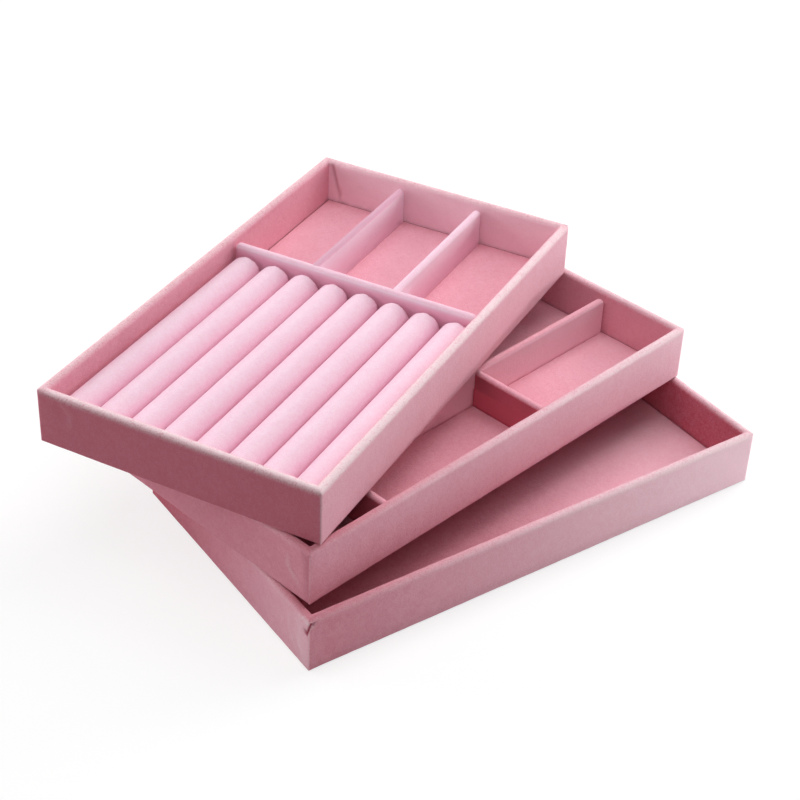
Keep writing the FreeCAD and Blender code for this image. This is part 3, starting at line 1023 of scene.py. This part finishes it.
            # Painted light and shade from the floor's near end to its far one, and painted shade along its
            # edges by the walls.
            painted_lights.append(mix(self.nap.floor_near, self.nap.floor_far, vert.co.x / size.x + 0.5))
            vert.co.z -= self.floor_dip * math.exp(-((inset / self.floor_dip_reach) ** 2))
            shades.append(self.floor_shade * math.exp(-((inset / self.floor_shade_reach) ** 2)))
        piece = finish_piece(f"{name}_cloth", mesh, self.place, self.place.body, TRAY_VELVET, self.wardrobe)
        add_mask(piece, Mask.PAINTED_SHADE, shades)
        add_mask(piece, Mask.PAINTED_LIGHT, painted_lights)
        thicken(piece, self.floor_cloth)
        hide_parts(f"{name}_velvet")
        return piece

    def dress_boards(self) -> None:
        """Puts board, card and felt on the pieces inside and underneath."""
        name = self.place.name
        self.wardrobe.dress_node(f"{name}_base_board", BOARD)
        for side in Side:
            self.wardrobe.dress_node(f"{name}_{side.value}_wall", BOARD)
        self.wardrobe.dress_node(f"{name}_floor_card", CARD)
        self.wardrobe.dress_node(f"{name}_underside_panel", FELT)

    def build(self) -> None:
        """Makes and dresses the whole tray."""
        self.build_wrap()
        self.build_floor()
        self.dress_boards()


@dataclass
class Divider:
    """A board divider in a folded velvet cover, open underneath, with slots where another one crosses."""

    name: str
    place: TrayPlace
    body: str
    run: Run
    finish: VelvetFinish
    wardrobe: Wardrobe
    start: float
    end: float
    across: float
    foot: float
    butted: bool
    laps: tuple[float, ...] = ()
    lap_from_top: bool = True
    # Painted light or shade on the faces and on the top, a painted highlight on the top, and painted shade
    # low on the faces.
    face_lean: float = 0.0
    top_lean: float = 0.0
    top_highlight: float = 0.0
    foot_shade: float = 0.0
    top: float = 26.5
    thickness: float = 4.4
    bend: float = 3.0
    bend_steps: int = 5
    round_radius: float = 1.95
    round_steps: int = 6
    lap_gap: float = 0.1
    cloth: float = 0.9
    level_split: Triple = (4.0, 300.0, 2.4)
    upright_split: Triple = (3.0, 40.0, 1.6)
    ripples: tuple[Ripple, ...] = (Ripple(0.12, 11.0), Ripple(0.06, 2.6, 3.0))
    top_reach: float = 2.2
    top_fade: float = 1.6
    shade_start: float = 1.4
    shade_fade: float = 2.4

    def cover(self) -> BMesh:
        """Folds the cover lengthwise along X, with its middle on Y zero.

        Returns:
            The cover's outer surface.
        """
        half = self.thickness / 2
        mesh = box_mesh((self.start, -half, self.foot), (self.end, half, self.top))
        round_edges(mesh, [edge for edge in mesh.edges if self.is_end_top(edge)], self.bend, self.bend_steps)
        rims = [edge for edge in mesh.edges if self.is_broad_rim(edge)]
        round_edges(mesh, rims, self.round_radius, self.round_steps)
        bmesh.ops.delete(mesh, geom=[facing(mesh, 2, -1)], context="FACES_ONLY")
        return mesh

    def is_end_top(self, edge: BMEdge) -> bool:
        """Finds the top edge of a free end.

        Args:
            edge: An edge of the block.

        Returns:
            True for such an edge.
        """
        at_end = [vert.co.x > self.end - TOUCH or (vert.co.x < self.start + TOUCH and not self.butted)
                  for vert in edge.verts]
        same_end = abs(edge.verts[0].co.x - edge.verts[1].co.x) < TOUCH
        return all(at_end) and same_end and all(vert.co.z > self.top - TOUCH for vert in edge.verts)

    def is_broad_rim(self, edge: BMEdge) -> bool:
        """Finds the edges round a broad face, apart from the foot and a butted end.

        Args:
            edge: An edge of the block.

        Returns:
            True for such an edge.
        """
        first, second = (vert.co for vert in edge.verts)
        in_face = abs(first.y - second.y) < TOUCH and abs(abs(first.y) - self.thickness / 2) < TOUCH
        at_foot = max(first.z, second.z) < self.foot + TOUCH
        at_butt = self.butted and max(first.x, second.x) < self.start + TOUCH
        return in_face and not at_foot and not at_butt

    def cut_laps(self, mesh: BMesh) -> None:
        """Cuts the slots that the crossing dividers sit in.

        Args:
            mesh: The cover.
        """
        reach = self.thickness / 2 + self.lap_gap
        half_height = (self.top - self.foot) / 2 + self.lap_gap
        level = self.top - half_height if self.lap_from_top else self.foot + half_height
        slice_at(mesh, 2, (level,) if self.laps else ())
        for lap in self.laps:
            slice_at(mesh, 0, (lap - reach, lap + reach))
            gone = [face for face in mesh.faces
                    if abs(face.calc_center_median().x - lap) < reach
                    and (face.calc_center_median().z > level) == self.lap_from_top]
            bmesh.ops.delete(mesh, geom=gone, context="FACES")

    def cope_butt(self, mesh: BMesh) -> None:
        """Draws a butted end over the round shoulder of the divider that it meets.

        Args:
            mesh: The cover.
        """
        for vert in mesh.verts:
            rise = vert.co.z - (self.top - self.round_radius)
            if self.butted and vert.co.x < self.start + TOUCH and rise > 0:
                vert.co.x -= self.round_radius - math.sqrt(max(self.round_radius ** 2 - rise * rise, 0.0))

    def build(self) -> Object:
        """Makes the cover and dresses the core inside it.

        Returns:
            The cover.
        """
        mesh = self.cover()
        self.cut_laps(mesh)
        split_along(mesh, 0, *self.level_split)
        split_along(mesh, 2, *self.upright_split)
        self.cope_butt(mesh)
        for ripple in self.ripples:
            ripple.press(mesh, self.across)
        # Painted highlight and painted light near the top, painted shade low on the faces.
        tops = [clamp((vert.co.z - self.top + self.top_reach) / self.top_fade) for vert in mesh.verts]
        feet = [clamp((self.top - self.shade_start - vert.co.z) / self.shade_fade) for vert in mesh.verts]
        place = (0, self.across, 0)
        if self.run is Run.CROSSWISE:
            quarter = Matrix.Rotation(QUARTER_TURN, 3, "Z")
            bmesh.ops.rotate(mesh, cent=(0, 0, 0), matrix=quarter, verts=mesh.verts)
            place = (self.across, 0, 0)
        bmesh.ops.translate(mesh, vec=place, verts=mesh.verts)
        piece = finish_piece(f"{self.name}_cover", mesh, self.place, self.body, self.finish, self.wardrobe)
        add_mask(piece, Mask.PAINTED_HIGHLIGHT, [self.top_highlight * share for share in tops])
        add_mask(piece, Mask.PAINTED_SHADE, [self.foot_shade * share for share in feet])
        add_mask(piece, Mask.PAINTED_LIGHT, [mix(self.face_lean, self.top_lean, share) for share in tops])
        thicken(piece, self.cloth)
        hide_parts(f"{self.name}_velvet")
        self.wardrobe.dress_node(f"{self.name}_core", CARD)
        return piece


@dataclass
class Fitting:
    """What divides the inside of a tray, with the places that its dividers reach to."""

    place: TrayPlace
    wardrobe: Wardrobe
    body: str
    finish: VelvetFinish
    line: float = 70.0 / 3
    floor: float = 5.8
    side: float = 69.6
    wall: float = 127.1

    def add_cross(self, name: str, across: float, foot: float, **details: object) -> None:
        """Makes a divider that runs from the front wall to the rear one.

        Args:
            name: The divider's name.
            across: Its place along the tray.
            foot: The height that it stands on.
            **details: Its slots and looks.
        """
        Divider(name, self.place, self.body, Run.CROSSWISE, self.finish, self.wardrobe, -self.side, self.side,
                across, foot, butted=False, **details).build()

    def add_long(self, name: str, cross: float, across: float, **details: object) -> None:
        """Makes a divider that runs from a cross divider's face to the right wall.

        Args:
            name: The divider's name.
            cross: The middle of the cross divider.
            across: Its own place across the tray.
            **details: Its slots and looks.
        """
        Divider(name, self.place, self.body, Run.LENGTHWISE, self.finish, self.wardrobe,
                cross + Divider.thickness / 2, self.wall, across, self.floor, butted=True, **details).build()


@dataclass
class DividerGrid(Fitting):
    """The middle tray's fixed grid: two cross dividers, and two long ones halved over the second."""

    first: float = -80.29
    second: float = 27.14
    # Painted shade on the cross dividers' faces, painted light on the long ones', and painted shade and a
    # painted highlight on the tops.
    cross_painted_light: float = -0.62
    long_painted_light: float = 0.9
    top_lean: float = -0.05
    top_highlight: float = 0.1

    def build(self) -> None:
        """Makes the four dividers."""
        looks = {"top_lean": self.top_lean, "top_highlight": self.top_highlight}
        laps = (-self.line, self.line)
        for name, across, slots in (("first", self.first, ()), ("second", self.second, laps)):
            self.add_cross(f"middle_{name}_cross_divider", across, self.floor, laps=slots,
                           face_lean=self.cross_painted_light, **looks)
        for name, across in (("front", -self.line), ("rear", self.line)):
            self.add_long(f"middle_{name}_long_divider", self.first, across, laps=(self.second,),
                          lap_from_top=False, face_lean=self.long_painted_light, **looks)


@dataclass
class RingRoll:
    """A foam roll in a velvet sleeve, swollen by its stuffing."""

    number: int
    place: TrayPlace
    body: str
    wardrobe: Wardrobe
    count: int = 8
    pitch: float = 17.4
    half: float = 8.6
    foot: float = 6.8
    rise: float = 15.4
    start: float = -127.1
    end: float = 27.85
    section_points: int = 44
    foot_share: float = 0.8
    side_share: float = 0.62
    end_round: float = 1.9
    least_round: float = 0.4
    round_steps: int = 4
    sleeve: float = 1.0
    slack: float = -0.08
    swell_limit: float = 0.35
    voxel: float = 2.0
    held_share: float = 0.12
    pressure: float = 4.0
    steps: int = 14
    smoothing: float = 0.4
    sleeve_split: Triple = (60.0, 300.0, 3.0)
    core_split: Triple = (60.0, 300.0, 4.0)
    ripple: Ripple = Ripple(0.05, 6.0)
    ripple_seed: float = 3.7
    # Painted light on the crown, and painted shade in the valleys between rolls and at the far end.
    crown_painted_light: float = 0.3
    valley_shade: float = 0.6
    valley_start: float = 0.70
    valley_fade: float = 0.25
    end_shade: float = 0.5
    end_reach: float = 2.2
    end_drop: float = 0.4
    sleeve_angle: float = 70.0
    core_angle: float = 60.0

    @property
    def name(self) -> str:
        """What the roll's pieces are called after."""
        return f"ring_roll_{self.number}"

    @property
    def across(self) -> float:
        """The roll's place across the insert."""
        return (self.number - (self.count + 1) / 2) * self.pitch

    def form(self, inset: float) -> BMesh:
        """Shapes the closed roll: half-round crown, sides that draw in, and a flat foot.

        Args:
            inset: How far the surface lies inside the full roll.

        Returns:
            The mesh.
        """
        half, height = self.half - inset, self.rise - inset
        mesh = bmesh.new()
        bmesh.ops.create_circle(mesh, cap_ends=True, segments=self.section_points, radius=half)
        for axis in "XZ":
            turn = Matrix.Rotation(QUARTER_TURN, 3, axis)
            bmesh.ops.rotate(mesh, cent=(0, 0, 0), matrix=turn, verts=mesh.verts)
        for vert in mesh.verts:
            self.shape_section(vert, half, height - half)
        bmesh.ops.translate(mesh, vec=(self.start + inset, self.across, self.foot), verts=mesh.verts)
        drawn = bmesh.ops.extrude_face_region(mesh, geom=mesh.faces[:], use_keep_orig=True)["geom"]
        far = [item for item in drawn if isinstance(item, BMVert)]
        bmesh.ops.translate(mesh, vec=(self.end - self.start - 2 * inset, 0, 0), verts=far)
        bmesh.ops.recalc_face_normals(mesh, faces=mesh.faces[:])
        ends = [edge for edge in mesh.edges if abs(edge.verts[0].co.x - edge.verts[1].co.x) < TOUCH
                and max(vert.co.z for vert in edge.verts) > self.foot + TOUCH]
        round_edges(mesh, ends, max(self.end_round - inset, self.least_round), self.round_steps)
        return mesh

    def shape_section(self, vert: BMVert, half: float, shoulder: float) -> None:
        """Moves a point of a circle to its place on the roll's section.

        Args:
            vert: The point.
            half: The circle's radius.
            shoulder: The height of the crown's springing.
        """
        angle = math.atan2(vert.co.z, abs(vert.co.y))
        if angle >= -1e-6:
            vert.co.z += shoulder
            return
        share = min(-angle / QUARTER_TURN, 1.0)
        draw = min(share / self.side_share, 1.0)
        reach = half * (1 - (1 - self.foot_share) * draw * draw)
        if share > self.side_share:
            reach *= 1 - (share - self.side_share) / (1 - self.side_share)
        vert.co.y = math.copysign(reach, vert.co.y)
        vert.co.z = shoulder * (1 - draw)

    def slack_cloth(self, mesh: BMesh) -> Object:
        """Turns the slack roll into an even net of cloth, held at its foot and under pressure.

        Args:
            mesh: The slack roll in millimetres, which is freed.

        Returns:
            The roll in metres, ready to swell.
        """
        data = bpy.data.meshes.new("slack_roll")
        bmesh.ops.scale(mesh, vec=(MM, MM, MM), verts=mesh.verts)
        mesh.to_mesh(data)
        mesh.free()
        roll = bpy.data.objects.new("slack_roll", data)
        bpy.context.scene.collection.objects.link(roll)
        remesh = roll.modifiers.new("voxels", "REMESH")
        remesh.mode = "VOXEL"
        remesh.voxel_size = self.voxel * MM
        graph = bpy.context.evaluated_depsgraph_get()
        roll.data = bpy.data.meshes.new_from_object(roll.evaluated_get(graph))
        roll.modifiers.clear()
        held = roll.vertex_groups.new(name="held")
        low = (self.foot + self.held_share * self.rise) * MM
        held.add([vert.index for vert in roll.data.vertices if vert.co.z < low], 1.0, "REPLACE")
        cloth = roll.modifiers.new("cloth", "CLOTH").settings
        cloth.quality = 5
        cloth.use_pressure = True
        cloth.uniform_pressure_force = self.pressure
        cloth.vertex_group_mass = held.name
        cloth.effector_weights.gravity = 0.0
        return roll

    def swell(self, mesh: BMesh) -> BMesh:
        """Swells the sleeve with simulated cloth, as far as its limit.

        Args:
            mesh: The slack roll in millimetres, which is freed.

        Returns:
            The swollen roll.
        """
        scene = bpy.context.scene
        roll = self.slack_cloth(mesh)
        for step in range(1, self.steps + 1):
            scene.frame_set(step)
        graph = bpy.context.evaluated_depsgraph_get()
        swollen = bpy.data.meshes.new_from_object(roll.evaluated_get(graph))
        scene.frame_set(1)
        result = bmesh.new()
        result.from_mesh(swollen)
        for vert, rest in zip(result.verts, roll.data.vertices):
            move = vert.co - rest.co
            vert.co = rest.co + move * min(1.0, self.swell_limit * MM / max(move.length, 1e-12))
        bpy.data.objects.remove(roll)
        bmesh.ops.scale(result, vec=(1 / MM, 1 / MM, 1 / MM), verts=result.verts)
        return result

    def build_sleeve(self) -> Object:
        """Makes the velvet sleeve.

        Returns:
            The piece.
        """
        mesh = self.form(self.slack)
        mesh = self.swell(mesh)
        bmesh.ops.smooth_vert(mesh, verts=mesh.verts, factor=self.smoothing,
                              use_axis_x=True, use_axis_y=True, use_axis_z=True)
        self.ripple.press(mesh, self.ripple_seed * self.number)
        # Painted light on the crown, painted shade in the valleys and at the far end.
        painted_lights, shades = [], []
        for vert in mesh.verts:
            drop = (self.foot + self.rise - vert.co.z) / self.half
            painted_lights.append(self.crown_painted_light * clamp(1 - 2 * drop))
            valley = self.valley_shade * clamp((drop - self.valley_start) / self.valley_fade)
            end = self.end_shade * clamp(1 - (self.end - vert.co.x) / self.end_reach)
            shades.append(max(valley, end * min(drop / self.end_drop, 1.0)))
        piece = finish_piece(f"{self.name}_sleeve", mesh, self.place, self.body, INSERT_VELVET, self.wardrobe,
                             self.sleeve_angle)
        add_mask(piece, Mask.PAINTED_LIGHT, painted_lights)
        add_mask(piece, Mask.PAINTED_SHADE, shades)
        smooth = piece.modifiers.new("smooth", "SUBSURF")
        smooth.levels = smooth.render_levels = 1
        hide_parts(f"{self.name}_velvet")
        return piece

    def build_core(self) -> Object:
        """Makes the foam inside the sleeve.

        Returns:
            The piece.
        """
        mesh = self.form(self.slack + self.sleeve)
        split_along(mesh, 0, *self.core_split)
        piece = finish_piece(f"{self.name}_core", mesh, self.place, self.body, FOAM, self.wardrobe,
                             self.core_angle)
        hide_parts(f"{self.name}_foam")
        return piece


@dataclass
class RingInsert(Fitting):
    """The top tray's drop-in insert: card, dividers and ring rolls."""

    cross: float = 30.25
    card_top: float = 6.8
    # Painted light on the dividers' faces and tops, painted shade on the rear short divider's top, and
    # painted shade low on the cross divider between the rolls.
    cross_painted_light: float = 0.8
    cross_top_lean: float = 0.2
    cross_shade: float = 0.5
    short_painted_light: float = 0.75
    front_top_lean: float = 0.25
    rear_top_lean: float = -0.5

    def build(self) -> None:
        """Makes and dresses the whole insert."""
        self.wardrobe.dress_node("insert_card", CARD)
        self.add_cross("insert_cross_divider", self.cross, self.card_top, face_lean=self.cross_painted_light,
                       top_lean=self.cross_top_lean, foot_shade=self.cross_shade)
        rows = (("front", -self.line, self.front_top_lean), ("rear", self.line, self.rear_top_lean))
        for name, across, lean in rows:
            self.add_long(f"insert_{name}_short_divider", self.cross, across, face_lean=self.short_painted_light,
                          top_lean=lean)
        for number in range(1, RingRoll.count + 1):
            roll = RingRoll(number, self.place, self.body, self.wardrobe)
            roll.build_core()
            roll.build_sleeve()


@dataclass(frozen=True)
class Softbox:
    """A soft area lamp that looks at a point."""

    name: str
    place: Triple
    size: Pair
    power: float
    aim: Triple = (-0.02, 0.03, 0.045)

    def build(self) -> None:
        """Makes the lamp."""
        data = bpy.data.lights.new(self.name, "AREA")
        data.shape = "RECTANGLE"
        data.size, data.size_y = self.size
        data.energy = self.power
        lamp = bpy.data.objects.new(self.name, data)
        lamp.location = self.place
        lamp.visible_camera = False
        lamp.rotation_mode = "QUATERNION"
        lamp.rotation_quaternion = (Vector(self.aim) - Vector(self.place)).to_track_quat("-Z", "Y")
        bpy.context.scene.collection.objects.link(lamp)


@dataclass
class Studio:
    """Pale floor, soft light and the photograph's camera."""

    lamps: tuple[Softbox, ...]
    target: Triple = (-0.01773, 0.02513, 0.045)
    distance: float = 0.87891
    azimuth: float = -35.281
    elevation: float = 35.393
    roll: float = 2.319
    lens: float = 79.47
    floor_half: float = 6.0
    floor_drop: float = 0.0002
    floor_bounce: Colour = (0.80, 0.80, 0.80)
    floor_seen: Colour = (0.30, 0.30, 0.30)
    floor_glow: float = 0.74

    def build_camera(self) -> None:
        """Makes the camera and sets it as the scene's."""
        data = bpy.data.cameras.new("camera")
        data.lens = self.lens
        data.sensor_width = 36.0
        data.clip_start, data.clip_end = 0.01, 50.0
        camera = bpy.data.objects.new("camera", data)
        around, up = math.radians(self.azimuth), math.radians(self.elevation)
        back = Vector((math.sin(around) * math.cos(up), -math.cos(around) * math.cos(up), math.sin(up)))
        camera.location = Vector(self.target) + back * self.distance
        camera.rotation_mode = "QUATERNION"
        level = (-back).to_track_quat("-Z", "Y")
        camera.rotation_quaternion = level @ Quaternion((0, 0, 1), math.radians(self.roll))
        bpy.context.scene.collection.objects.link(camera)
        bpy.context.scene.camera = camera

    def build_floor(self) -> None:
        """Makes a wide pale floor that keeps the object's shadow."""
        mesh = bmesh.new()
        bmesh.ops.create_grid(mesh, x_segments=8, y_segments=8, size=self.floor_half)
        data = bpy.data.meshes.new("studio_floor")
        mesh.to_mesh(data)
        mesh.free()
        nodes = NodeTree("studio_floor")
        seen = nodes.add("LightPath").outputs["Is Camera Ray"]
        nodes.level("Roughness", 1.0)
        nodes.level("Specular IOR Level", 0.0)
        nodes.feed("Base Color", nodes.blend(seen, self.floor_bounce, self.floor_seen))
        nodes.level("Emission Color", (1.0, 1.0, 1.0, 1.0))
        nodes.feed("Emission Strength", nodes.math("MULTIPLY", seen, self.floor_glow))
        data.materials.append(nodes.material)
        floor = bpy.data.objects.new("studio_floor", data)
        floor.location.z = -self.floor_drop
        bpy.context.scene.collection.objects.link(floor)

    def build_sky(self) -> None:
        """Makes a surrounding that looks white and lights nothing."""
        world = bpy.data.worlds.new("studio")
        bpy.context.scene.world = world
        world.use_nodes = True
        tree = world.node_tree
        background = tree.nodes["Background"]
        background.inputs["Color"].default_value = (1.0, 1.0, 1.0, 1.0)
        path = tree.nodes.new("ShaderNodeLightPath")
        seen = path.outputs["Is Camera Ray"]
        for ray in ("Is Glossy Ray", "Is Transmission Ray"):
            either = tree.nodes.new("ShaderNodeMath")
            either.operation = "MAXIMUM"
            tree.links.new(seen, either.inputs[0])
            tree.links.new(path.outputs[ray], either.inputs[1])
            seen = either.outputs["Value"]
        tree.links.new(seen, background.inputs["Strength"])

    def build(self) -> None:
        """Makes the whole studio."""
        bpy.context.scene.view_settings.view_transform = "Standard"
        self.build_camera()
        self.build_floor()
        self.build_sky()
        for lamp in self.lamps:
            lamp.build()


BOTTOM = TrayPlace("bottom", 0, 0.0, 0.0, 0.0)
MIDDLE = TrayPlace("middle", 1, -11.0, 32.6, 11.05)
TOP = TrayPlace("top", 2, -38.5, 64.1, 28.18)
SEED_STEP = 17.0

# The bottom tray's near corner: a slit below the rim with painted shade in it, its lips and a flap with
# painted highlights, and loose cloth on the left face with painted highlights on its ridges and painted
# shade.
BOTTOM_CREASES = (
    Crease(((-2.0, 28.8, 0.6), (-0.4, 26.0, 1.0), (0.9, 23.2, 1.0), (1.8, 20.6, 0.5)), 0.4, 0.5, shade=2.2),
    Crease(((1.8, 20.6, 0.6), (1.9, 0.0, 0.4)), 0.2, 0.5, shade=0.15),
    Crease(((-4.2, 29.6, 0.8), (-1.5, 26.2, 1.0), (-0.2, 23.2, 1.0), (-0.2, 0.0, 0.8)), -0.3, 0.4, lift=0.3),
    Crease(((7.0, 28.0, 0.5), (2.6, 29.4, 1.0), (0.4, 28.4, 1.0)), -0.25, 1.2, lift=0.4),
    Crease(((16.6, 22.0, 0.5), (15.6, 13.0, 1.0), (9.6, 5.7, 0.6)), -0.3, 1.1, lift=0.12),
    Crease(((13.4, 21.0, 0.5), (12.6, 13.0, 1.0), (7.4, 6.8, 0.6)), 0.2, 1.3, shade=0.08),
    Crease(((7.5, 24.0, 0.6), (8.0, 13.0, 1.0), (4.6, 4.0, 0.6)), -0.1, 3.0, lift=0.16),
)
# The middle tray's near corner: a lighter line of painted highlight down the edge, a groove with painted
# shade and a darker band beside it, and a slack fold with a painted highlight and painted shade.
MIDDLE_CREASES = (
    Crease(((-0.1, 0.0, 0.8), (-0.1, 27.0, 1.0)), -0.15, 0.4, lift=0.14),
    Crease(((1.2, 0.0, 0.7), (1.2, 28.0, 1.0)), 0.3, 0.6, shade=0.5),
    Crease(((3.4, 1.0, 0.5), (3.6, 20.0, 0.9), (5.2, 29.0, 1.0)), 0.12, 1.8, shade=0.3),
    Crease(((15.0, 21.0, 0.6), (13.5, 14.0, 1.0), (7.5, 8.0, 0.6)), -0.3, 1.2, lift=0.14),
    Crease(((12.2, 21.0, 0.5), (10.8, 15.0, 1.0), (5.8, 10.0, 0.6)), 0.22, 1.4, shade=0.1),
)
# The top tray: a curved fold at the left face's far end with painted shade and a painted highlight beside
# it, a lighter line of painted highlight down the near edge, and a fold in the lining with painted shade.
TOP_CREASES = (
    Crease(((139.6, 27.0, 0.6), (135.0, 22.0, 1.0), (134.0, 17.7, 1.0), (136.5, 11.5, 0.5)), 0.45, 1.2,
           shade=0.5),
    Crease(((136.0, 27.0, 0.4), (132.2, 22.0, 1.0), (131.3, 17.5, 1.0), (133.5, 11.0, 0.4)), -0.25, 1.4,
           lift=0.08),
    Crease(((0.0, 1.0, 0.8), (0.0, 27.0, 1.0)), -0.1, 0.5, lift=0.35),
    Crease(((2.4, 27.5, 1.0), (4.6, 19.0, 1.0), (8.5, 5.0, 0.7)), 0.5, 1.0, shade=0.5,
           skin=Skin.RIGHT_LINING),
)

# Painted light and shade on each tray's faces, rims, linings and floor, and the strength of its painted
# highlight on the rim.
BOTTOM_LIGHT_AND_SHADE = PaintedLightAndShade(
    left_near=0.2, left_far=-0.45, front_near=-0.17, front_far=0.55, front_foot=0.0, rim_near=-0.15,
    rim_far=0.12, rim_behind=0.0, rear_lining=-0.1, right_lining=-0.42, floor_near=-0.35, floor_far=0.2,
    left_shade=0.08, front_shade=0.0, rim_shade=0.4, rim_highlight=0.1)
MIDDLE_LIGHT_AND_SHADE = PaintedLightAndShade(
    left_near=-0.12, left_far=-0.2, front_near=-0.05, front_far=0.38, front_foot=-0.2, rim_near=-0.15,
    rim_far=0.12, rim_behind=0.0, rear_lining=-0.05, right_lining=0.0, floor_near=-0.18, floor_far=0.08,
    left_shade=0.14, front_shade=0.0, rim_shade=0.4, rim_highlight=0.1)
TOP_LIGHT_AND_SHADE = PaintedLightAndShade(
    left_near=-0.2, left_far=-0.17, front_near=0.16, front_far=0.28, front_foot=-0.1, rim_near=0.12,
    rim_far=0.05, rim_behind=-0.2, rear_lining=-0.02, right_lining=0.5, floor_near=0.0, floor_far=0.0,
    left_shade=0.54, front_shade=0.13, rim_shade=0.0, rim_highlight=1.3)

LAMPS = (
    Softbox("overhead", (0.0, 0.05, 1.30), (0.9, 0.9), 4.5),
    Softbox("over_right", (0.55, 0.10, 1.10), (0.7, 0.7), 4.4),
    Softbox("over_left", (-0.55, 0.20, 1.10), (0.7, 0.7), 1.5),
    Softbox("back_left", (-0.40, 1.05, 0.60), (0.7, 0.7), 3.9),
    Softbox("left_behind", (-0.85, 0.80, 0.35), (0.4, 0.4), 2.5),
    Softbox("left", (-1.15, 0.25, 0.35), (0.6, 0.6), 1.6),
    Softbox("right", (0.90, 0.10, 0.45), (0.6, 0.6), 5.6),
    Softbox("front_high", (-0.45, -0.65, 0.95), (0.7, 0.7), 1.9),
    Softbox("low_right", (0.42, -0.36, 0.016), (0.2, 0.03), 0.68, aim=(-0.02, 0.03, 0.016)),
)


def main() -> None:
    """Builds the trays, the grid, the insert and the studio in order."""
    logging.basicConfig(level=logging.INFO, format="%(name)s: %(message)s")
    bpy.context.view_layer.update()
    wardrobe = Wardrobe()
    trays = ((BOTTOM, BOTTOM_CREASES, BOTTOM_LIGHT_AND_SHADE), (MIDDLE, MIDDLE_CREASES, MIDDLE_LIGHT_AND_SHADE),
             (TOP, TOP_CREASES, TOP_LIGHT_AND_SHADE))
    for number, (place, creases, nap) in enumerate(trays):
        TrayBox(place, wardrobe, creases, nap, SEED_STEP * number).build()
    DividerGrid(MIDDLE, wardrobe, MIDDLE.body, TRAY_VELVET).build()
    RingInsert(TOP, wardrobe, "ring_insert", INSERT_VELVET).build()
    Studio(LAMPS).build()


if __name__ == "__main__":
    main()
